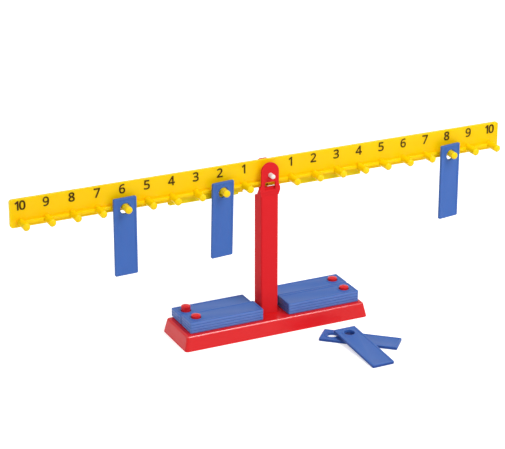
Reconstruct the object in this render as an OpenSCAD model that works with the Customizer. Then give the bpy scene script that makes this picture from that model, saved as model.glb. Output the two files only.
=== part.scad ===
// Number balance toy: a red moulded stand, a yellow beam with ten numbered
// pegs on each side of a white pivot pin, and blue plate weights that hang on
// the pegs, wait in four stacks on the base, or lie loose on the table.
// Millimetres, +Z up. The origin is on the table under the post's axis.
// +X runs along the beam towards the right arm, -Y is the numbered side.

/* [Beam] */
// distance from one peg to the next
peg_pitch = 31; // [26:0.5:36]
// pegs on each arm
peg_count = 10; // [10:1:12]
// beam left over beyond the last peg
beam_end = 12.5; // [10:0.5:20]
// height of the flat web
web_h = 34.2; // [30:0.2:40]
// thickness of the flat web
web_t = 3.5; // [3:0.1:5]
// rounding of the web's corners
web_corner_r = 3.2; // [1:0.1:6]
// how far the pegs sit below the pivot
peg_drop = 10.4; // [9.5:0.1:11.5]
// diameter of a peg
peg_d = 8.6; // [7:0.1:9.5]
// length of a peg from the web
peg_len = 22; // [17:0.5:26]
// height of a peg's domed tip
peg_dome = 1.6; // [0.8:0.1:2]
// depth of the stiffening ledge on each side of the web
ledge_depth = 4.2; // [3.5:0.1:5.2]
// thickness of the stiffening ledge
ledge_t = 3.6; // [2.5:0.1:5]
// diameter of the hub round the pivot pin
hub_d = 17; // [14:0.5:18]

/* [Zero adjusters] */
// distance from the pivot to a rail's near end
rail_start = 38; // [34:0.5:44]
// length of a rail
rail_len = 89; // [80:0.5:100]
// how far a rail hangs below the web
rail_drop = 4.4; // [4.2:0.1:6]
// wall of a rail round its slot
rail_wall = 1.2; // [1:0.05:1.6]
// width of the slot
slot_w = 3.4; // [3:0.1:4]
// play between a sliding bar and its slot, each side
slider_play = 0.2; // [0.15:0.01:0.3]
// length of a sliding bar
slider_len = 62; // [50:1:70]
// how far the left bar sticks out of its rail
left_bar_out = 6.8; // [5:0.1:8]
// how far the right bar sits inside its rail
right_bar_in = 1; // [0.5:0.1:3]

/* [Stand] */
// base left over beyond the outer end of a stack
base_margin = 9.3; // [7:0.05:16]
// base left over behind the back stacks
base_side_margin = 1.3; // [1:0.1:6]
// height of the base
base_h = 18.5; // [17:0.1:24]
// lean of the base's sides, each side
base_lean = 3.1; // [2:0.1:4]
// plan rounding of the base's corners
base_corner_r = 4; // [3:0.1:6]
// rounding of the base's upper edge
base_edge_r = 3; // [2:0.1:4]
// wall of the hollow base
base_wall = 2.4; // [2:0.1:3]
// wall of the post's socket
socket_wall = 2.6; // [2:0.1:4]
// floor of the post's socket
socket_floor = 2.5; // [2:0.1:4]
// gap round the post in its socket
socket_play = 0.1; // [0.05:0.01:0.2]

/* [Post] */
// height of the pivot above the table
pivot_z = 198.6; // [194:0.2:210]
// width of the post along the beam
post_w = 22.9; // [21:0.1:24]
// depth of the post across the beam
post_d = 19.7; // [19:0.1:21]
// rounding of the post's upright edges
post_edge_r = 1.8; // [1:0.1:3]
// wall of the hollow post
post_wall = 2.5; // [2:0.1:3]
// thickness of the two ears that hold the pin
ear_t = 3; // [2.5:0.05:3.2]
// how far the ears stand proud of the post's front and back
ear_proud = 1.1; // [0.8:0.05:1.5]
// width of the front ear
ear_w = 22.6; // [21:0.1:24]
// rise of the front ear above the pivot
ear_rise = 15.2; // [13:0.1:17]
// width of the front ear's shoulders
shoulder_w = 26.4; // [24:0.1:28]
// depth of the shoulders below the pivot
shoulder_drop = 18.4; // [17:0.1:20]
// width of the window in the front ear
window_w = 14; // [12:0.1:15]
// height of the window in the front ear
window_h = 10; // [8:0.1:11]
// drop of the window's middle below the pivot
window_drop = 14; // [13.5:0.1:15]
// width of the rear ear
rear_ear_w = 14; // [13:0.1:16]
// width of the rear ear at its foot
rear_foot_w = 8; // [7:0.1:12]
// rise of the rear ear above the pivot
rear_ear_rise = 14.6; // [13:0.1:17]
// rounding of the rear ear's corners
rear_ear_r = 3.5; // [2:0.1:5]
// drop of the post's shoulder line below the pivot at the back
notch_back_drop = 30; // [29:0.1:34]
// drop of the post's shoulder line below the pivot at the front
notch_front_drop = 16.6; // [16.2:0.1:22]
// place across the post where the shoulder line starts to climb
notch_knee_y = 4; // [3:0.1:5]
// place across the post where the shoulder line ends its climb
notch_crest_y = -4.1; // [-5:0.1:-2.6]
// height of the straight part of the front ear's shoulders
shoulder_flat = 4; // [3:0.1:5]
// height of the slope from the shoulders in to the front ear
shoulder_run = 4.1; // [3:0.1:6]
// how far the rear ear runs down into the post
ear_root = 3; // [2:0.1:5]
// height of the slope where an ear's face comes out of the post's
ear_slope = 6.5; // [4:0.1:7]
// solid top of the post below the shoulder line
post_cap = 8; // [5:0.1:12]

/* [Pivot pin] */
// diameter of the pivot pin
pin_d = 5.6; // [5:0.1:7]
// how far the pin stands out of the front ear
pin_out = 9; // [4:0.1:11]
// height of the pin's domed tip
pin_dome = 1.2; // [0.5:0.1:1.6]
// gap round the pin in the ears
pin_fit = 0.02; // [0.01:0.01:0.05]
// running gap round the pin in the hub
pin_run = 0.06; // [0.02:0.01:0.1]
// gap at each end of the hub
hub_end_play = 0.35; // [0.3:0.01:0.4]
// diameter of the pin's head
pin_head_d = 9.5; // [8:0.1:12]
// thickness of the pin's head
pin_head_t = 2.2; // [1.5:0.1:3]

/* [Weights] */
// length of a weight
weight_l = 96.4; // [90:0.2:99]
// width of a weight
weight_w = 29; // [26:0.2:30]
// thickness of a weight
weight_t = 3.5; // [2.8:0.1:3.8]
// rounding of a weight's corners
weight_corner_r = 1.6; // [0.8:0.1:4]
// diameter of a weight's hole
hole_d = 13; // [12.6:0.1:14]
// distance of the hole's middle from the weight's end
hole_edge = 13.2; // [12:0.1:14.4]
// width of the raised rim round a weight's face
rim_w = 2.4; // [1.8:0.1:3]
// depth of the sunk face inside the rim
face_sink = 0.4; // [0.2:0.05:0.6]

/* [Storage] */
// gap between the post and the inner end of a stack
stack_gap = 5.65; // [3:0.05:8]
// gap between the front and back stacks
stack_side_gap = 1.4; // [1:0.1:3]
// shift of the storage pegs towards the right arm
stack_shift = 1.4; // [0:0.1:2]
// shift of the storage pegs towards the back
store_shift = 4; // [2:0.1:4.2]
// diameter of a storage peg
store_peg_d = 11.4; // [10.5:0.1:11.6]
// height of a storage peg above the base
store_peg_h = 18.2; // [17:0.1:20]
// height of a storage peg's domed tip
store_peg_dome = 1.4; // [0.8:0.1:2]
// gap between one stored weight and the next
lay_gap = 0.04; // [0.02:0.01:0.1]

/* [Hanging weights] */
// numbers of the pegs that hold the left outer, left inner and right weight
hung_pegs = [6, 2, 8];
// gap between a peg's top and the hole that hangs on it
hang_gap = 0.3; // [0.3:0.05:0.5]
// gap between a hanging weight and the ledge behind it
ledge_gap = 0.3; // [0.15:0.05:0.6]
// turn of the left outer weight about the vertical
left_outer_turn = 2.5; // [0:0.5:4]
// turn of the left inner weight about the vertical
left_inner_turn = 6; // [0:0.5:8]
// turn of the right weight about the vertical
right_turn = 9; // [0:0.5:10]
// swing of the left inner weight's foot towards the back
left_inner_swing = 2.5; // [0:0.1:4]

/* [Loose weights] */
// place of the lower loose weight's hole on the table
lower_hole = [54.8, -70.8];
// heading of the lower loose weight
lower_turn = -41.4; // [-46:0.1:-38]
// place of the upper loose weight's front end on the table
upper_front = [72.4, -168];
// turn of the upper loose weight about the vertical
upper_turn = 1.2; // [0:0.1:3]
// gap between the two loose weights where one leans on the other
lean_gap = 0.1; // [0.05:0.01:0.3]

/* [Hidden] */
// smoothness of every round face
$fn = 48;
// smoothness of the base's hulls
hull_fn = 32;
// overshoot of every cut
cut = 1;
ledge_y = web_t / 2 + ledge_depth;
beam_l = 2 * (peg_count * peg_pitch + beam_end);
ledge_l = 2 * peg_count * peg_pitch + peg_d;
peg_z = pivot_z - peg_drop;
ear_out = post_d / 2 + ear_proud;
ear_in = ear_out - ear_t;
hub_w = 2 * (ear_in - hub_end_play);
bore_d = pin_d + 2 * pin_run;
slot_y = slot_w / 2 + rail_wall - web_t / 2;
slot_top = pivot_z - web_h / 2;
rail_bottom = slot_top - rail_drop;
slot_bottom = rail_bottom + rail_wall;
slider_h = slot_top - slot_bottom - 2 * slider_play;
slider_w = slot_w - 2 * slider_play;
base_foot = 1;
hang_drop = (hole_d - peg_d) / 2 - hang_gap;
arch_drop = shoulder_drop - shoulder_flat / 2 - shoulder_run;
notch_low = pivot_z - notch_back_drop;
notch_high = pivot_z - notch_front_drop;
cavity_top = notch_low - post_cap;
front_foot = pivot_z - shoulder_drop - shoulder_flat / 2 - ear_slope;
rear_foot = notch_low - ear_root;
store_x = post_w / 2 + stack_gap + weight_l - hole_edge;
store_gap = weight_w + stack_side_gap;
base_l = 2 * (store_x + hole_edge + base_margin);
base_w = 2 * (store_shift + store_gap / 2 + weight_w / 2 + base_side_margin);
store_front_y = store_shift - store_gap / 2;
store_back_y = store_shift + store_gap / 2;
layer = weight_t + lay_gap;
// start of the lower loose weight's front edge, seen from the upper one's front end
edge_from = [
    lower_hole.x + weight_w / 2 * sin(lower_turn) - upper_front.x,
    lower_hole.y - weight_w / 2 * cos(lower_turn) - upper_front.y,
];
// that edge passes under the upper weight's right edge here
edge_run = (weight_w / 2 - cos(upper_turn) * edge_from.x - sin(upper_turn) * edge_from.y)
    / cos(lower_turn - upper_turn);
cross_run = cos(upper_turn) * (edge_from.y + edge_run * sin(lower_turn))
    - sin(upper_turn) * (edge_from.x + edge_run * cos(lower_turn));
lean = asin((weight_t + lean_gap) / cross_run);

// colours of the moulded pieces
red = "#DC2F34";
yellow = "#FFD31C";
blue = "#4A6FB8";
white = "#F2F2EE";

// arms of the beam as [name, side]
ARMS = [["left", -1], ["right", 1]];

// stacks as [name, side, y, count]
STACKS = [
    ["left_front", -1, store_front_y, 4],
    ["left_back", -1, store_back_y, 3],
    ["right_front", 1, store_front_y, 4],
    ["right_back", 1, store_back_y, 4],
];

// rectangle with rounded corners, centred
module round_rect(l, w, r) {
    square([l - 2 * r, w], center = true);
    square([l, w - 2 * r], center = true);
    for (sx = [-1, 1])
        for (sy = [-1, 1])
            translate([sx * (l / 2 - r), sy * (w / 2 - r)])
                circle(r);
}

// upright round pin whose tip is a shallow dome
module domed_pin(d, h, dome) {
    dome_r = (d * d / 4 + dome * dome) / (2 * dome);
    cylinder(d = d, h = h - dome);
    intersection() {
        translate([0, 0, h - dome_r])
            sphere(dome_r);
        translate([0, 0, h - dome - cut])
            cylinder(d = d, h = dome + 2 * cut);
    }
}

// flat shape drawn in X and Z, made t thick and centred on y
module upright(y, t) {
    translate([0, y + t / 2, 0])
        rotate([90, 0, 0])
            linear_extrude(t)
                children();
}

// round bar along Y from y0 to y1 at height z
module bar_y(d, y0, y1, z) {
    translate([0, y1, z])
        rotate([90, 0, 0])
            cylinder(d = d, h = y1 - y0);
}

// four places near the base's corners, inset from its rectangle
module at_corners(inset_l, inset_w) {
    for (sx = [-1, 1])
        for (sy = [-1, 1])
            translate([sx * (base_l / 2 - inset_l), sy * (base_w / 2 - inset_w), 0])
                children();
}

// outside of the base: leaning sides and a rounded upper edge
module base_outside() {
    top_inset = base_lean + base_edge_r;
    hull() {
        at_corners(base_corner_r, base_corner_r)
            cylinder(r = base_corner_r, h = base_foot, $fn = hull_fn);
        at_corners(top_inset, top_inset)
            translate([0, 0, base_h - base_edge_r])
                sphere(base_edge_r, $fn = hull_fn);
    }
}

// hollow under the base
module base_inside() {
    low_inset = base_corner_r + base_wall;
    top_inset = low_inset + base_lean;
    hull() {
        at_corners(low_inset, low_inset)
            translate([0, 0, -cut])
                cylinder(r = base_corner_r, h = cut + base_foot, $fn = hull_fn);
        at_corners(top_inset, top_inset)
            translate([0, 0, base_h - base_wall - base_foot])
                cylinder(r = base_corner_r, h = base_foot, $fn = hull_fn);
    }
}

// hollow base with the post's socket and four storage pegs
module base_shell() {
    socket_l = post_w + 2 * (socket_play + socket_wall);
    socket_w = post_d + 2 * (socket_play + socket_wall);
    color(red) {
        difference() {
            union() {
                difference() {
                    base_outside();
                    base_inside();
                }
                linear_extrude(base_h - base_wall / 2)
                    round_rect(socket_l, socket_w, post_edge_r + socket_wall);
            }
            translate([0, 0, socket_floor])
                linear_extrude(base_h)
                    round_rect(post_w + 2 * socket_play, post_d + 2 * socket_play, post_edge_r);
        }
        for (sx = [-1, 1])
            for (y = [store_front_y, store_back_y])
                translate([sx * store_x + stack_shift, y, base_h - base_wall / 2])
                    domed_pin(store_peg_d, store_peg_h + base_wall / 2, store_peg_dome);
    }
}

// outline of the front ear in X and Z
module front_ear_outline() {
    arch_r = ear_w / 2;
    arch_z = pivot_z + ear_rise - arch_r;
    translate([0, arch_z])
        circle(arch_r);
    polygon([
        [-post_w / 2, front_foot],
        [post_w / 2, front_foot],
        [shoulder_w / 2, pivot_z - shoulder_drop - shoulder_flat / 2],
        [shoulder_w / 2, pivot_z - shoulder_drop + shoulder_flat / 2],
        [ear_w / 2, pivot_z - arch_drop],
        [ear_w / 2, arch_z],
        [-ear_w / 2, arch_z],
        [-ear_w / 2, pivot_z - arch_drop],
        [-shoulder_w / 2, pivot_z - shoulder_drop + shoulder_flat / 2],
        [-shoulder_w / 2, pivot_z - shoulder_drop - shoulder_flat / 2],
    ]);
}

// outline of the rear ear in X and Z
module rear_ear_outline() {
    low = pivot_z - hub_d / 2;
    high = pivot_z + rear_ear_rise;
    translate([0, (low + high) / 2])
        round_rect(rear_ear_w, high - low, rear_ear_r);
    polygon([
        [-rear_foot_w / 2, rear_foot],
        [rear_foot_w / 2, rear_foot],
        [rear_ear_w / 2, low + rear_ear_r],
        [-rear_ear_w / 2, low + rear_ear_r],
    ]);
}

// ear on side sy: the outline's plate, its face sloping out of the post's above the foot
module ear(sy, foot) {
    top = pivot_z + 2 * ear_rise;
    intersection() {
        upright(sy * (ear_in + ear_out) / 2, ear_t)
            children();
        rotate([90, 0, 90])
            linear_extrude(2 * post_w, center = true)
                polygon([
                    [sy * ear_in, foot],
                    [sy * post_d / 2, foot],
                    [sy * ear_out, foot + ear_slope],
                    [sy * ear_out, top],
                    [sy * ear_in, top],
                ]);
    }
}

// hollow post that ends in two ears with the beam's slot between them
module post() {
    color(red)
        difference() {
            union() {
                difference() {
                    translate([0, 0, socket_floor])
                        linear_extrude(notch_high - socket_floor)
                            round_rect(post_w, post_d, post_edge_r);
                    rotate([90, 0, 90])
                        linear_extrude(2 * post_w, center = true)
                            polygon([
                                [post_d, notch_low],
                                [notch_knee_y, notch_low],
                                [notch_crest_y, notch_high],
                                [-post_d, notch_high],
                                [-post_d, pivot_z],
                                [post_d, pivot_z],
                            ]);
                }
                ear(-1, front_foot)
                    front_ear_outline();
                ear(1, rear_foot)
                    rear_ear_outline();
            }
            translate([0, 0, socket_floor - cut])
                linear_extrude(cavity_top - socket_floor + cut)
                    round_rect(post_w - 2 * post_wall, post_d - 2 * post_wall, post_edge_r / 2);
            upright(-ear_out, 2 * ear_t)
                translate([0, pivot_z - window_drop])
                    round_rect(window_w, window_h, web_corner_r / 2);
            bar_y(pin_d + 2 * pin_fit, -2 * ear_out, 2 * ear_out, pivot_z);
        }
}

// pivot pin with a domed front end and a flat head behind
module pivot_pin() {
    color(white) {
        translate([0, ear_out, pivot_z])
            rotate([90, 0, 0])
                domed_pin(pin_d, 2 * ear_out + pin_out, pin_dome);
        bar_y(pin_head_d, ear_out, ear_out + pin_head_t, pivot_z);
    }
}

// one rail under the web, for the arm on side sx
module rail(sx) {
    rail_y0 = -web_t / 2;
    rail_w = slot_w + 2 * rail_wall;
    rail_h = slot_top + rail_wall - rail_bottom;
    translate([sx * (rail_start + rail_len / 2), rail_y0 + rail_w / 2, rail_bottom + rail_h / 2])
        cube([rail_len, rail_w, rail_h], center = true);
}

// slot through the rail on side sx
module rail_slot(sx) {
    translate([sx * (rail_start + rail_len / 2), slot_y, (slot_bottom + slot_top) / 2])
        cube([rail_len + 2 * cut, slot_w, slot_top - slot_bottom], center = true);
}

// beam: web, ledges, hub, rails and a boss behind each peg
module beam() {
    color(yellow)
        difference() {
            union() {
                upright(0, web_t)
                    translate([0, pivot_z])
                        round_rect(beam_l, web_h, web_corner_r);
                translate([0, 0, peg_z])
                    cube([ledge_l, 2 * ledge_y, ledge_t], center = true);
                bar_y(hub_d, -hub_w / 2, hub_w / 2, pivot_z);
                for (sx = [-1, 1]) {
                    rail(sx);
                    for (k = [1:peg_count])
                        translate([sx * k * peg_pitch, 0, peg_z])
                            rotate([90, 0, 0])
                                cylinder(d = peg_d, h = ledge_y);
                }
            }
            bar_y(bore_d, -hub_w, hub_w, pivot_z);
            for (sx = [-1, 1])
                rail_slot(sx);
        }
}

// k-th peg from the pivot on side sx, from the ledge's front to its domed tip
module peg(sx, k) {
    color(yellow)
        translate([sx * k * peg_pitch, -ledge_y, peg_z])
            rotate([90, 0, 0])
                domed_pin(peg_d, peg_len - ledge_depth, peg_dome);
}

// sliding bar whose left end is at x
module zero_bar(x) {
    color(yellow)
        translate([x, slot_y - slider_w / 2, slot_bottom + slider_play])
            cube([slider_len, slider_w, slider_h]);
}

// left bar, pushed out towards the pivot
module zero_bar_left() {
    zero_bar(-rail_start + left_bar_out - slider_len);
}

// right bar, inside its rail
module zero_bar_right() {
    zero_bar(rail_start + right_bar_in);
}

// plate weight lying flat, its hole on the Z axis and its length along +X
module weight_plate() {
    middle = weight_l / 2 - hole_edge;
    color(blue)
        difference() {
            linear_extrude(weight_t)
                difference() {
                    translate([middle, 0])
                        round_rect(weight_l, weight_w, weight_corner_r);
                    circle(d = hole_d);
                }
            translate([0, 0, weight_t - face_sink])
                linear_extrude(cut)
                    difference() {
                        translate([middle, 0])
                            round_rect(weight_l - 2 * rim_w, weight_w - 2 * rim_w, rim_w);
                        circle(d = hole_d + 2 * rim_w);
                    }
        }
}

// weight hanging on the peg at x, turned about the vertical, its foot swung back
module hung_weight(x, turn, swing = 0) {
    back_y = -ledge_y - ledge_gap - weight_w / 2 * sin(turn);
    translate([x, back_y, peg_z - hang_drop])
        rotate([swing, 0, turn])
            rotate([90, 90, 0])
                weight_plate();
}

// outer weight on the left arm
module hung_weight_left_outer() {
    hung_weight(-hung_pegs[0] * peg_pitch, left_outer_turn);
}

// inner weight on the left arm
module hung_weight_left_inner() {
    hung_weight(-hung_pegs[1] * peg_pitch, left_inner_turn, left_inner_swing);
}

// weight on the right arm
module hung_weight_right() {
    hung_weight(hung_pegs[2] * peg_pitch, right_turn);
}

// k-th weight from the bottom of stack s
module stored_weight(s, k) {
    translate([s[1] * store_x + stack_shift, s[2], base_h + lay_gap + (k - 1) * layer])
        rotate([0, 0, s[1] > 0 ? 180 : 0])
            weight_plate();
}

// loose weight lying flat on the table
module loose_weight_lower() {
    translate([lower_hole.x, lower_hole.y, 0])
        rotate([0, 0, lower_turn])
            weight_plate();
}

// loose weight with its front end on the table, leaning on the lower one
module loose_weight_upper() {
    translate([upper_front.x, upper_front.y, 0])
        rotate([lean, 0, upper_turn])
            translate([0, weight_l - hole_edge, 0])
                rotate([0, 0, -90])
                    weight_plate();
}

base_shell();
post();
pivot_pin();
beam();
zero_bar_left();
zero_bar_right();
hung_weight_left_outer();
hung_weight_left_inner();
hung_weight_right();
for (a = ARMS)
    for (k = [1:peg_count])
        peg(a[1], k);
for (s = STACKS)
    for (k = [1:s[3]])
        stored_weight(s, k);
loose_weight_lower();
loose_weight_upper();
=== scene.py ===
"""Looks of a number balance toy: red stand, yellow numbered beam, white pin, blue weights.

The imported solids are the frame. Lengths in the size classes are millimetres; the scene is in metres.
"""

import logging
import math
from dataclasses import dataclass, field
from enum import Enum

import bpy
from mathutils import Matrix, Vector


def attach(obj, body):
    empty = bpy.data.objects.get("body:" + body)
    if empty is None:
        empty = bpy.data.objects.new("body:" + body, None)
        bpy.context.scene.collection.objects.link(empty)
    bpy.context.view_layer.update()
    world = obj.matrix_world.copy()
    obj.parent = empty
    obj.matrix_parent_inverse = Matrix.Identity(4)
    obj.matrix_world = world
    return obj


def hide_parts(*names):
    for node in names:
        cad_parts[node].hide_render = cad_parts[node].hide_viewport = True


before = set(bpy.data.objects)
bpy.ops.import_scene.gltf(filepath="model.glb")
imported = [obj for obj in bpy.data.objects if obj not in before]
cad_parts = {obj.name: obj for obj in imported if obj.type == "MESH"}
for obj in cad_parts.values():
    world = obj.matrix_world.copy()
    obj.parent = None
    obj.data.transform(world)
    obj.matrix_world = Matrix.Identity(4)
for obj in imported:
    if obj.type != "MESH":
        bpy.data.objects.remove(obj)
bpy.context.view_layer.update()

log = logging.getLogger("number_balance")
MM = 0.001


class Side(Enum):
    """The two arms of the beam, as the sign of X."""

    LEFT = -1
    RIGHT = 1


def linear(hex_colour: str) -> tuple[float, float, float, float]:
    """Turns an sRGB hex colour into linear RGBA.

    Args:
        hex_colour: six hex digits with a leading '#'.

    Returns:
        Linear red, green, blue and an alpha of 1.
    """
    parts = [int(hex_colour[i : i + 2], 16) / 255 for i in (1, 3, 5)]
    lin = [c / 12.92 if c <= 0.04045 else ((c + 0.055) / 1.055) ** 2.4 for c in parts]
    return (*lin, 1.0)


def add_node(tree: bpy.types.NodeTree, kind: str, **sockets: object) -> bpy.types.Node:
    """Adds a shader node and sets its input sockets.

    Args:
        tree: the node tree.
        kind: the node's type name.
        sockets: input socket names, with '_' for spaces, and their values or source sockets.

    Returns:
        The new node.
    """
    node = tree.nodes.new(kind)
    for name, value in sockets.items():
        socket = node.inputs[name.replace("_", " ")]
        if isinstance(value, bpy.types.NodeSocket):
            tree.links.new(value, socket)
        else:
            socket.default_value = value
    return node


@dataclass(frozen=True)
class Plastic:
    """A moulded plastic: a body colour that drifts a little, soft gloss and a fine skin grain.

    The grain is drawn coarser than a real mould's skin, because the real one is far too fine to show.
    """

    name: str
    colour: str
    drift: str
    roughness: float
    drift_mm: float = 38.0
    grain_mm: float = 0.9
    grain_depth_mm: float = 0.006
    specular: float = 0.35
    glow: float = 0.25
    glow_mm: tuple[float, float, float] = (2.0, 0.6, 0.6)
    # Optional painted highlight: extra gloss on front faces between two heights, where the key light's
    # highlight falls.
    rubbed_mm: tuple[float, float] = (0.0, 0.0)
    rubbed: float = 0.0
    front_facing: float = -0.3
    spread: float = 0.15
    bump: float = 0.35
    ior: float = 1.5

    def build(self) -> bpy.types.Material:
        """Makes the material.

        Returns:
            The material, with its patterns in object coordinates.
        """
        mat = bpy.data.materials.new(self.name)
        mat.use_nodes = True
        tree = mat.node_tree
        tree.nodes.clear()
        coords = add_node(tree, "ShaderNodeTexCoord").outputs["Object"]
        cloud = add_node(
            tree, "ShaderNodeTexNoise", Vector=coords, Scale=1 / (self.drift_mm * MM), Detail=3.0
        )
        mix = add_node(tree, "ShaderNodeMix")
        mix.data_type = "RGBA"  # its colours are inputs 6 and 7, and its result output 2
        tree.links.new(cloud.outputs["Fac"], mix.inputs[0])
        mix.inputs[6].default_value = linear(self.colour)
        mix.inputs[7].default_value = linear(self.drift)
        grain = add_node(
            tree, "ShaderNodeTexNoise", Vector=coords, Scale=1 / (self.grain_mm * MM), Detail=2.0
        )
        sheen = add_node(tree, "ShaderNodeMapRange", Value=grain.outputs["Fac"])
        sheen.inputs["To Min"].default_value = self.roughness * (1 - self.spread)
        sheen.inputs["To Max"].default_value = self.roughness * (1 + self.spread)
        bump = add_node(
            tree,
            "ShaderNodeBump",
            Height=grain.outputs["Fac"],
            Strength=self.bump,
            Distance=self.grain_depth_mm * MM,
        )
        shader = add_node(
            tree,
            "ShaderNodeBsdfPrincipled",
            Base_Color=mix.outputs[2],
            Roughness=sheen.outputs["Result"],
            Normal=bump.outputs["Normal"],
            IOR=self.ior,
            Specular_IOR_Level=self._shine(tree, coords) if self.rubbed else self.specular,
            Subsurface_Weight=self.glow,
            Subsurface_Radius=[depth * MM for depth in self.glow_mm],
            Subsurface_Scale=1.0,
        )
        out = add_node(tree, "ShaderNodeOutputMaterial")
        tree.links.new(shader.outputs["BSDF"], out.inputs["Surface"])
        return mat

    def _shine(self, tree: bpy.types.NodeTree, coords: bpy.types.NodeSocket) -> bpy.types.NodeSocket:
        """Raises the gloss of the front faces between two heights. This is a painted highlight, set
        where the key light's highlight falls on an edge, so that it shows as a bright line.

        Args:
            tree: the node tree to add to.
            coords: the object coordinates.

        Returns:
            The specular level.
        """
        low, high = (z * MM for z in self.rubbed_mm)
        height = add_node(tree, "ShaderNodeSeparateXYZ", Vector=coords).outputs["Z"]
        band = add_node(tree, "ShaderNodeMath")
        band.operation = "COMPARE"
        tree.links.new(height, band.inputs[0])
        band.inputs[1].default_value = (low + high) / 2
        band.inputs[2].default_value = (high - low) / 2
        normal = add_node(tree, "ShaderNodeNewGeometry").outputs["Normal"]
        depth = add_node(tree, "ShaderNodeSeparateXYZ", Vector=normal).outputs["Y"]
        front = add_node(tree, "ShaderNodeMath")
        front.operation = "LESS_THAN"
        tree.links.new(depth, front.inputs[0])
        front.inputs[1].default_value = self.front_facing
        both = add_node(tree, "ShaderNodeMath")
        both.operation = "MULTIPLY"
        tree.links.new(band.outputs[0], both.inputs[0])
        tree.links.new(front.outputs[0], both.inputs[1])
        level = add_node(tree, "ShaderNodeMapRange", Value=both.outputs[0])
        level.inputs["To Min"].default_value = self.specular
        level.inputs["To Max"].default_value = self.specular + self.rubbed
        return level.outputs["Result"]


class Finish(Enum):
    """The plastics and inks of the toy."""

    # Satin red: deep and even with hardly any shine, so the post reads as one flat colour.
    RED = Plastic("Moulded ABS red, satin", "#E1292F", "#DB272D", 0.38, specular=0.02)
    # Polished red: a quiet, sharp shine, plus a painted highlight: raised gloss along the base's front
    # edge, where the key light's highlight falls, seen as a bright line.
    GLOSS = Plastic(
        "Moulded ABS red, polished",
        "#E12227",
        "#DB2024",
        0.16,
        specular=0.2,
        rubbed_mm=(16.9, 17.8),
        rubbed=0.75,
    )
    # Yellow that light sinks into: a warm face that glows a little and evens out its shadows.
    YELLOW = Plastic(
        "Moulded ABS yellow",
        "#FFD200",
        "#FFCC00",
        0.38,
        specular=0.14,
        glow=0.85,
        glow_mm=(4.5, 3.4, 0.3),
    )
    # The same yellow in thin pieces: brighter and crisper, since less light spreads inside.
    LEMON = Plastic(
        "Moulded ABS yellow, thin",
        "#FFD800",
        "#FFD200",
        0.34,
        specular=0.2,
        glow=0.3,
        glow_mm=(2.5, 1.8, 0.3),
    )
    # Satin blue: soft, even faces with a dull shine.
    BLUE = Plastic("Moulded styrene blue", "#416CBA", "#3D66B1", 0.42, specular=0.22)
    # Painted shade on the blue edges: a darker line round the loose plates.
    DEEP = Plastic(
        "Moulded styrene blue, deep edge", "#33539D", "#2E4D93", 0.42, specular=0.1
    )
    # Painted highlight on the blue edges of the piled plates: paler, duller and mottled from layer to
    # layer.
    SCUFFED = Plastic(
        "Moulded styrene blue, scuffed edge",
        "#6283C9",
        "#5576BC",
        0.5,
        drift_mm=9.0,
        specular=0.3,
    )
    # White nylon: a bright pin with a soft shine.
    WHITE = Plastic("Moulded nylon white", "#F1F1EC", "#E9E9E4", 0.36)
    # Dull ink: dark figures that stay flat on the yellow face.
    INK = Plastic(
        "Printed ink dark brown", "#4B2C08", "#55340B", 0.5, grain_mm=0.4, specular=0.08
    )


class Palette:
    """Makes each finish once and hands it out."""

    def __init__(self) -> None:
        """Starts with no material made."""
        self._made: dict[Finish, bpy.types.Material] = {}

    def material(self, finish: Finish) -> bpy.types.Material:
        """Finds a finish's material, making it the first time.

        Args:
            finish: the plastic or ink.

        Returns:
            The material.
        """
        if finish not in self._made:
            self._made[finish] = finish.value.build()
        return self._made[finish]

    def paint(self, obj: bpy.types.Object, *finishes: Finish) -> None:
        """Gives an object its finishes, the first one all over.

        Args:
            obj: a mesh object.
            finishes: the plastics or inks.
        """
        obj.data.materials.clear()
        for finish in finishes:
            obj.data.materials.append(self.material(finish))


def only(obj: bpy.types.Object) -> None:
    """Makes one object the only selected and active one.

    Args:
        obj: the object.
    """
    if bpy.context.object and bpy.context.object.mode != "OBJECT":
        bpy.ops.object.mode_set(mode="OBJECT")
    bpy.ops.object.select_all(action="DESELECT")
    obj.select_set(True)
    bpy.context.view_layer.objects.active = obj


def apply_modifier(obj: bpy.types.Object, kind: str, **settings: object) -> None:
    """Adds a modifier, sets it and applies it.

    Args:
        obj: a mesh object.
        kind: the modifier's type.
        settings: its properties.
    """
    only(obj)
    mod = obj.modifiers.new(kind.title(), kind)
    for name, value in settings.items():
        setattr(mod, name, value)
    bpy.ops.object.modifier_apply(modifier=mod.name)


def bake_place(obj: bpy.types.Object, place: Matrix) -> None:
    """Puts an object's place into its mesh, so that it sits at the origin.

    Args:
        obj: a mesh object at the origin.
        place: where it goes.
    """
    only(obj)
    obj.matrix_world = place
    bpy.ops.object.transform_apply(location=True, rotation=True, scale=True)


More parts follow.
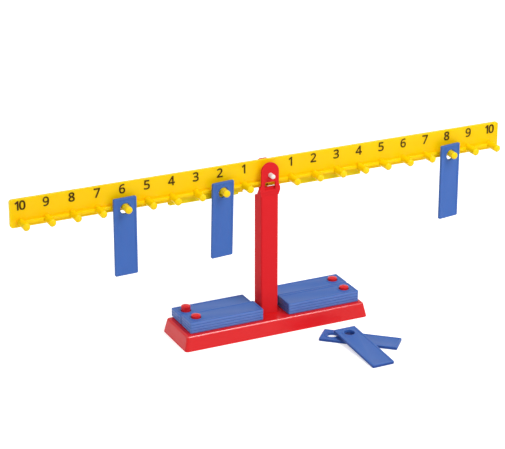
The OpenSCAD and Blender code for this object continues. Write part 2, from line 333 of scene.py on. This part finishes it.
@dataclass
class WeightPlate:
    """A blue plate weight: rounded plate, sunk face with a raised rim, and a hole with its own rim.

    The least angles of the edges that are rounded are radians, and the smooth angle is degrees.
    """

    length: float = 96.4
    width: float = 29.0
    thick: float = 3.5
    corner: float = 1.6
    hole: float = 13.0
    hole_edge: float = 13.2
    rim: float = 2.4
    sink: float = 0.4
    soft: float = 0.2
    worn: float = 0.65
    edge_tilt: float = 0.5
    end_facing: float = 0.7
    cut_above: float = 1.0
    bore_reach: float = 6.0
    steps: int = 3
    corner_steps: int = 5
    hole_sides: int = 64
    worn_angle: float = 1.0
    soft_angle: float = 0.6
    smooth_angle: float = 40.0

    def build(self, name: str) -> bpy.types.Object:
        """Models the plate lying flat, one unit to a millimetre: hole on the Z axis, length along +X.

        Args:
            name: the new object's name.

        Returns:
            The mesh object.
        """
        bpy.ops.object.select_all(action="DESELECT")
        bpy.ops.mesh.primitive_cube_add(size=1)
        plate = bpy.context.object
        plate.name = name
        self._slab(plate, 0.0, 0.0, self.thick, self.corner)
        self._round(plate, self.worn, self.worn_angle)
        bpy.ops.mesh.primitive_cube_add(size=1)
        sunk = bpy.context.object
        self._slab(sunk, self.rim, self.thick - self.sink, self.cut_above + self.sink, self.rim)
        self._bore(sunk, self.hole / 2 + self.rim)
        apply_modifier(plate, "BOOLEAN", operation="DIFFERENCE", object=sunk, solver="EXACT")
        bpy.data.objects.remove(sunk)
        self._bore(plate, self.hole / 2)
        self._round(plate, self.soft, self.soft_angle)
        bpy.ops.object.shade_smooth_by_angle(angle=math.radians(self.smooth_angle))
        return plate

    def _round(self, plate: bpy.types.Object, width: float, angle: float) -> None:
        """Rounds the plate's sharp edges.

        Args:
            plate: the plate.
            width: the rounding's width.
            angle: the least angle of a sharp edge, in radians.
        """
        apply_modifier(
            plate, "BEVEL", width=width, segments=self.steps, limit_method="ANGLE", angle_limit=angle
        )

    def mark_edge(self, plate: bpy.types.Object) -> None:
        """Sets the outer edge apart for painted highlight and painted shade: slot 1 for the sides and
        the hole's end, slot 2 for the far end.

        Args:
            plate: the plate, still lying flat.
        """
        middle = self.length / 2 - self.hole_edge
        for face in plate.data.polygons:
            x, y, _ = face.center
            at_end = abs(x - middle) > self.length / 2 - self.corner
            at_side = abs(y) > self.width / 2 - self.corner
            if (at_end or at_side) and abs(face.normal.z) < self.edge_tilt:
                face.material_index = 2 if face.normal.x > self.end_facing else 1

    def _slab(
        self, box: bpy.types.Object, inset: float, low: float, height: float, corner: float
    ) -> None:
        """Turns a unit cube into a flat slab with rounded upright edges.

        Args:
            box: a unit cube.
            inset: how far the slab stays inside the plate's outline.
            low: the slab's lower face.
            height: the slab's height.
            corner: the rounding of its upright edges.
        """
        middle = Matrix.Translation((self.length / 2 - self.hole_edge, 0, low + height / 2))
        size = (self.length - 2 * inset, self.width - 2 * inset, height, 1)
        bake_place(box, middle @ Matrix.Diagonal(size))
        bpy.ops.object.mode_set(mode="EDIT")
        bpy.ops.mesh.select_mode(type="EDGE")
        bpy.ops.mesh.select_all(action="DESELECT")
        bpy.ops.object.mode_set(mode="OBJECT")
        for edge in box.data.edges:
            a, b = (box.data.vertices[i].co for i in edge.vertices)
            edge.select = abs(a.z - b.z) > height / 2
        bpy.ops.object.mode_set(mode="EDIT")
        bpy.ops.mesh.bevel(offset=corner, segments=self.corner_steps, profile=0.5)
        bpy.ops.object.mode_set(mode="OBJECT")

    def _bore(self, piece: bpy.types.Object, radius: float) -> None:
        """Cuts an upright round hole on the Z axis.

        Args:
            piece: what is cut.
            radius: the hole's radius.
        """
        bpy.ops.mesh.primitive_cylinder_add(
            vertices=self.hole_sides, radius=radius, depth=self.bore_reach * self.thick
        )
        tool = bpy.context.object
        apply_modifier(piece, "BOOLEAN", operation="DIFFERENCE", object=tool, solver="EXACT")
        bpy.data.objects.remove(tool)


@dataclass(frozen=True)
class Hang:
    """How a weight hangs: peg number, negative on the left, turn and backward swing in degrees."""

    peg: int
    turn: float
    swing: float = 0.0


@dataclass(frozen=True)
class Stack:
    """A pile of stored weights: its arm, its row, 0 in front, and its count."""

    side: Side
    row: int
    count: int


@dataclass
class Weights:
    """Every weight: hung on pegs, stored on the base, or loose on the table."""

    plate: WeightPlate = field(default_factory=WeightPlate)
    pitch: float = 31.0
    peg_z: float = 188.2
    peg_d: float = 8.6
    hang_gap: float = 0.3
    back_y: float = -6.25
    store_x: float = 100.3
    store_shift: float = 1.4
    store_y: tuple[float, float] = (-11.2, 19.2)
    store_z: float = 18.54
    layer: float = 3.54
    lower_hole: tuple[float, float] = (54.8, -70.8)
    lower_turn: float = -41.4
    upper_front: tuple[float, float] = (72.4, -168.0)
    upper_turn: float = 1.2
    lean_gap: float = 0.1
    hung: dict[str, Hang] = field(
        default_factory=lambda: {
            "left_outer": Hang(-6, 2.5),
            "left_inner": Hang(-2, 6.0, 2.5),
            "right": Hang(8, 9.0),
        }
    )
    stacks: dict[str, Stack] = field(
        default_factory=lambda: {
            "left_front": Stack(Side.LEFT, 0, 4),
            "left_back": Stack(Side.LEFT, 1, 3),
            "right_front": Stack(Side.RIGHT, 0, 4),
            "right_back": Stack(Side.RIGHT, 1, 4),
        }
    )

    def places(self) -> dict[str, Matrix]:
        """Works out where each weight is.

        Returns:
            A matrix in millimetres for each CAD node's name.
        """
        found = {f"hung_weight_{name}": self._hung(hang) for name, hang in self.hung.items()}
        turn = Matrix.Rotation(math.radians(self.lower_turn), 4, "Z")
        found["loose_weight_lower"] = Matrix.Translation((*self.lower_hole, 0)) @ turn
        found["loose_weight_upper"] = self._upper()
        for name, stack in self.stacks.items():
            turn = Matrix.Rotation(math.pi if stack.side is Side.RIGHT else 0, 4, "Z")
            x = stack.side.value * self.store_x + self.store_shift
            for k in range(stack.count):
                spot = (x, self.store_y[stack.row], self.store_z + k * self.layer)
                found[f"stored_weight_{name}_{k + 1}"] = Matrix.Translation(spot) @ turn
        return found

    def _hung(self, hang: Hang) -> Matrix:
        """Place of a weight on a peg.

        Args:
            hang: the peg and the angles.

        Returns:
            The place, in millimetres.
        """
        drop = (self.plate.hole - self.peg_d) / 2 - self.hang_gap
        y = self.back_y - self.plate.width / 2 * math.sin(math.radians(hang.turn))
        return (
            Matrix.Translation((hang.peg * self.pitch, y, self.peg_z - drop))
            @ Matrix.Rotation(math.radians(hang.turn), 4, "Z")
            @ Matrix.Rotation(math.radians(hang.swing), 4, "X")
            @ Matrix.Rotation(math.pi / 2, 4, "Y")
            @ Matrix.Rotation(math.pi / 2, 4, "X")
        )

    def _upper(self) -> Matrix:
        """Place of the loose weight that leans on the other one's edge.

        Returns:
            The place, in millimetres.
        """
        low, up = math.radians(self.lower_turn), math.radians(self.upper_turn)
        half = self.plate.width / 2
        x = self.lower_hole[0] + half * math.sin(low) - self.upper_front[0]
        y = self.lower_hole[1] - half * math.cos(low) - self.upper_front[1]
        run = (half - math.cos(up) * x - math.sin(up) * y) / math.cos(low - up)
        cross = math.cos(up) * (y + run * math.sin(low)) - math.sin(up) * (x + run * math.cos(low))
        lean = math.asin((self.plate.thick + self.lean_gap) / cross)
        return (
            Matrix.Translation((*self.upper_front, 0))
            @ Matrix.Rotation(up, 4, "Z")
            @ Matrix.Rotation(lean, 4, "X")
            @ Matrix.Translation((0, self.plate.length - self.plate.hole_edge, 0))
            @ Matrix.Rotation(-math.pi / 2, 4, "Z")
        )

    def build(self, palette: Palette) -> None:
        """Models one plate and sets a copy of it in each place.

        Args:
            palette: the finishes.
        """
        master = self.plate.build("weight_master")
        palette.paint(master, Finish.BLUE, Finish.SCUFFED, Finish.BLUE)
        self.plate.mark_edge(master)
        # Finishes of edge slots 1 and 2. The piled plates get a painted highlight on their sides and
        # outer ends; their inner ends face the post, lie in its shade and stay plain blue. The loose
        # plates get painted shade all round their edges, and the hung ones stay plain blue.
        edges = {
            "stored": (Finish.SCUFFED, Finish.BLUE),
            "loose": (Finish.DEEP, Finish.DEEP),
            "hung": (Finish.BLUE, Finish.BLUE),
        }
        for node, place in self.places().items():
            only(master)
            bpy.ops.object.duplicate()
            piece = bpy.context.object
            piece.name = f"{node}_look"
            bake_place(piece, Matrix.Scale(MM, 4) @ place)
            for slot, finish in enumerate(edges[node.split("_")[0]], 1):
                piece.data.materials[slot] = palette.material(finish)
            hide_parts(node)
            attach(piece, f"{node}_body")
            log.info("weight %s", piece.name)
        bpy.data.objects.remove(master)


@dataclass
class Numerals:
    """The printed figures over the pegs and the mark under the pivot."""

    pitch: float = 31.0
    count: int = 10
    height: float = 11.6
    middle_z: float = 207.8
    face_y: float = -1.75
    ink: float = 0.05
    bold: float = 0.012
    swell: float = 0.006
    heavy_swell: float = 0.013
    heavy_figures: tuple[str, ...] = ("8", "10")
    spacing: float = 0.72
    half_depth: float = 0.5
    mark_z: float = 184.4
    mark_size: tuple[float, float] = (2.2, 3.4)
    font_file: str = "NotoSansHebrew-Regular.woff2"  # its figures are a plain sans
    font: bpy.types.VectorFont | None = None

    def build(self, palette: Palette) -> None:
        """Prints every figure on the beam's face.

        Args:
            palette: the finishes.
        """
        folder = bpy.utils.system_resource("DATAFILES", path="fonts")
        self.font = bpy.data.fonts.load(f"{folder}/{self.font_file}")
        for side in Side:
            for number in range(1, self.count + 1):
                piece = self._figure(f"numeral_{side.name.lower()}_{number}", str(number))
                spot = Vector((side.value * number * self.pitch, self.face_y, self.middle_z)) * MM
                bake_place(piece, Matrix.Translation(spot) @ Matrix.Rotation(math.pi / 2, 4, "X"))
                palette.paint(piece, Finish.INK)
                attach(piece, "beam_body")
                log.info("numeral %s", piece.name)
        self._mark(palette)

    def _figure(self, name: str, words: str) -> bpy.types.Object:
        """Makes one figure lying flat, centred, at its real height.

        Args:
            name: the object's name.
            words: the digits.

        Returns:
            The mesh object.
        """
        bpy.ops.object.select_all(action="DESELECT")
        bpy.ops.object.text_add()
        text = bpy.context.object
        text.data.body = words
        text.data.font = self.font
        text.data.offset = self.bold
        text.data.bevel_depth = self.heavy_swell if words in self.heavy_figures else self.swell
        text.data.bevel_resolution = 0
        text.data.space_character = self.spacing
        text.data.extrude = self.half_depth
        bpy.ops.object.convert(target="MESH")
        text = bpy.context.object
        text.name = name
        low = [min(v.co[i] for v in text.data.vertices) for i in range(3)]
        high = [max(v.co[i] for v in text.data.vertices) for i in range(3)]
        scale = self.height * MM / (high[1] - low[1])
        shift = Matrix.Translation((-(low[0] + high[0]) / 2, -(low[1] + high[1]) / 2, -low[2]))
        bake_place(text, Matrix.Diagonal((scale, scale, self.ink * MM, 1)) @ shift)
        return text

    def _mark(self, palette: Palette) -> None:
        """Prints the small level mark seen in the post's window.

        Args:
            palette: the finishes.
        """
        bpy.ops.object.select_all(action="DESELECT")
        bpy.ops.mesh.primitive_cube_add(size=MM)
        mark = bpy.context.object
        mark.name = "level_mark"
        spot = Vector((0, self.face_y - self.ink / 2, self.mark_z)) * MM
        wide, tall = self.mark_size
        bake_place(mark, Matrix.Translation(spot) @ Matrix.Diagonal((wide, self.ink, tall, 1)))
        palette.paint(mark, Finish.INK)
        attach(mark, "beam_body")
        log.info("mark %s", mark.name)


@dataclass
class Mouldings:
    """The red, yellow and white mouldings, shown from the solids with softened edges."""

    peg_soft: float = 0.5
    weld: float = 0.002
    steps: int = 3
    sharp_angle: float = 38.0
    thin: tuple[str, ...] = ("zero_bar_left", "zero_bar_right")
    rounded: tuple[str, ...] = ("base_shell", "post")
    softness: dict[str, float] = field(
        default_factory=lambda: {
            "base_shell": 0.5,
            "post": 0.6,
            "pivot_pin": 0.3,
            "beam": 0.5,
            "zero_bar_left": 0.25,
            "zero_bar_right": 0.25,
        }
    )

    def dress(self, palette: Palette) -> None:
        """Softens the edges and gives each moulding its plastic.

        Args:
            palette: the finishes.
        """
        finishes = {"base_shell": Finish.GLOSS, "post": Finish.RED, "pivot_pin": Finish.WHITE}
        pegs = {node: self.peg_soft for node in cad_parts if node.startswith("peg_")}
        finishes |= {node: Finish.LEMON for node in (*pegs, *self.thin)}
        for node, soft in {**self.softness, **pegs}.items():
            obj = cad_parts[node]
            weld = obj.modifiers.new("Weld", "WELD")
            weld.merge_threshold = self.weld * MM
            bevel = obj.modifiers.new("Edges", "BEVEL")
            bevel.width = soft * MM
            bevel.segments = self.steps
            bevel.limit_method = "ANGLE"
            bevel.angle_limit = math.radians(self.sharp_angle)
            if node not in self.rounded:
                obj.modifiers.new("Normals", "WEIGHTED_NORMAL").keep_sharp = True
            palette.paint(obj, finishes.get(node, Finish.YELLOW))
            log.info("moulding %s", node)


@dataclass
class Studio:
    """Camera, table, white surround and key light.

    Angles are degrees. The camera's lengths are millimetres, the table's and the light's metres.
    """

    azimuth: float = 25.45
    elevation: float = 21.66
    shift_x: float = -16.62
    shift_z: float = 131.17
    distance: float = 2370.25
    focal_px: float = 1963.45
    image_px: float = 505.0
    key_power: float = 23.2
    sky_left: float = 0.8
    sky_right: float = 0.42
    floor_lift: float = 0.5
    floor_size: float = 6.0
    floor_drop: float = 0.0002
    paper: float = 0.93
    sensor: float = 36.0
    far: float = 50.0
    key_size: float = 0.95
    key_back: float = 0.9
    key_right: float = 1.1
    key_up: float = 1.2

    def axes(self) -> tuple[Vector, Vector, Vector]:
        """Works out the camera's directions.

        Returns:
            Forward, right and the point looked at, in metres.
        """
        a, e = math.radians(self.azimuth), math.radians(self.elevation)
        forward = Vector((math.sin(a) * math.cos(e), math.cos(a) * math.cos(e), -math.sin(e)))
        right = Vector((math.cos(a), -math.sin(a), 0))
        target = (right * self.shift_x + Vector((0, 0, self.shift_z))) * MM
        return forward, right, target

    def build(self) -> None:
        """Sets up the camera, the table, the surround and the light."""
        forward, right, target = self.axes()
        data = bpy.data.cameras.new("Camera")
        data.sensor_fit = "HORIZONTAL"
        data.sensor_width = self.sensor
        data.lens = self.focal_px * self.sensor / self.image_px
        data.clip_end = self.far
        cam = bpy.data.objects.new("Camera", data)
        bpy.context.scene.collection.objects.link(cam)
        cam.location = target - forward * self.distance * MM
        cam.rotation_mode = "QUATERNION"
        cam.rotation_quaternion = forward.to_track_quat("-Z", "Y")
        bpy.context.scene.camera = cam
        bpy.context.scene.view_settings.view_transform = "Standard"
        self._floor()
        self._sky()
        side = right * self.key_right - forward * self.key_back
        self._key(target + side + Vector((0, 0, self.key_up)), target)
        log.info("studio")

    def _seen(self, tree: bpy.types.NodeTree) -> bpy.types.NodeSocket:
        """Tells rays that show the background from rays that only carry its light.

        Args:
            tree: the node tree to add to.

        Returns:
            A socket that is 1 for camera, glossy and transmission rays and 0 for the others.
        """
        path = add_node(tree, "ShaderNodeLightPath")
        shown = path.outputs["Is Camera Ray"]
        for kind in ("Is Glossy Ray", "Is Transmission Ray"):
            both = add_node(tree, "ShaderNodeMath")
            both.operation = "MAXIMUM"
            tree.links.new(shown, both.inputs[0])
            tree.links.new(path.outputs[kind], both.inputs[1])
            shown = both.outputs[0]
        return shown

    def _floor(self) -> None:
        """Lays the plain pale table."""
        bpy.ops.object.select_all(action="DESELECT")
        bpy.ops.mesh.primitive_plane_add(size=self.floor_size, location=(0, 0, -self.floor_drop))
        floor = bpy.context.object
        floor.name = "table_top"
        mat = bpy.data.materials.new("Matt white table paper")
        mat.use_nodes = True
        tree = mat.node_tree
        tree.nodes.clear()
        paper = add_node(tree, "ShaderNodeBsdfDiffuse", Color=(*[self.paper] * 3, 1))
        lift = add_node(tree, "ShaderNodeEmission", Color=(1, 1, 1, 1), Strength=self.floor_lift)
        both = add_node(tree, "ShaderNodeAddShader")
        tree.links.new(paper.outputs[0], both.inputs[0])
        tree.links.new(lift.outputs[0], both.inputs[1])
        mix = add_node(tree, "ShaderNodeMixShader")
        tree.links.new(self._seen(tree), mix.inputs[0])
        tree.links.new(paper.outputs[0], mix.inputs[1])
        tree.links.new(both.outputs[0], mix.inputs[2])
        out = add_node(tree, "ShaderNodeOutputMaterial")
        tree.links.new(mix.outputs[0], out.inputs["Surface"])
        floor.data.materials.append(mat)

    def _sky(self) -> None:
        """Makes the surround: plain white to the camera, and brighter from the left as a light."""
        world = bpy.data.worlds.new("White studio")
        bpy.context.scene.world = world
        world.use_nodes = True
        tree = world.node_tree
        tree.nodes.clear()
        way = add_node(tree, "ShaderNodeTexCoord").outputs["Generated"]
        across = add_node(tree, "ShaderNodeSeparateXYZ", Vector=way)
        fade = add_node(tree, "ShaderNodeMapRange", Value=across.outputs["X"])
        fade.inputs["From Min"].default_value = -1.0
        fade.inputs["To Min"].default_value = self.sky_left
        fade.inputs["To Max"].default_value = self.sky_right
        soft = add_node(
            tree, "ShaderNodeBackground", Color=(1, 1, 1, 1), Strength=fade.outputs["Result"]
        )
        plain = add_node(tree, "ShaderNodeBackground", Color=(1, 1, 1, 1), Strength=1.0)
        mix = add_node(tree, "ShaderNodeMixShader")
        tree.links.new(self._seen(tree), mix.inputs[0])
        tree.links.new(soft.outputs[0], mix.inputs[1])
        tree.links.new(plain.outputs[0], mix.inputs[2])
        out = add_node(tree, "ShaderNodeOutputWorld")
        tree.links.new(mix.outputs[0], out.inputs["Surface"])

    def _key(self, spot: Vector, target: Vector) -> None:
        """Adds the one soft square light.

        Args:
            spot: where it stands.
            target: what it points at.
        """
        data = bpy.data.lights.new("key", "AREA")
        data.size = self.key_size
        data.energy = self.key_power
        lamp = bpy.data.objects.new("key", data)
        bpy.context.scene.collection.objects.link(lamp)
        lamp.location = spot
        lamp.rotation_mode = "QUATERNION"
        lamp.rotation_quaternion = (target - spot).to_track_quat("-Z", "Y")


def main() -> None:
    """Builds the toy's looks in order, then the studio."""
    logging.basicConfig(level=logging.INFO, format="%(message)s")
    palette = Palette()
    Mouldings().dress(palette)
    Weights().build(palette)
    Numerals().build(palette)
    Studio().build()


if __name__ == "__main__":
    main()
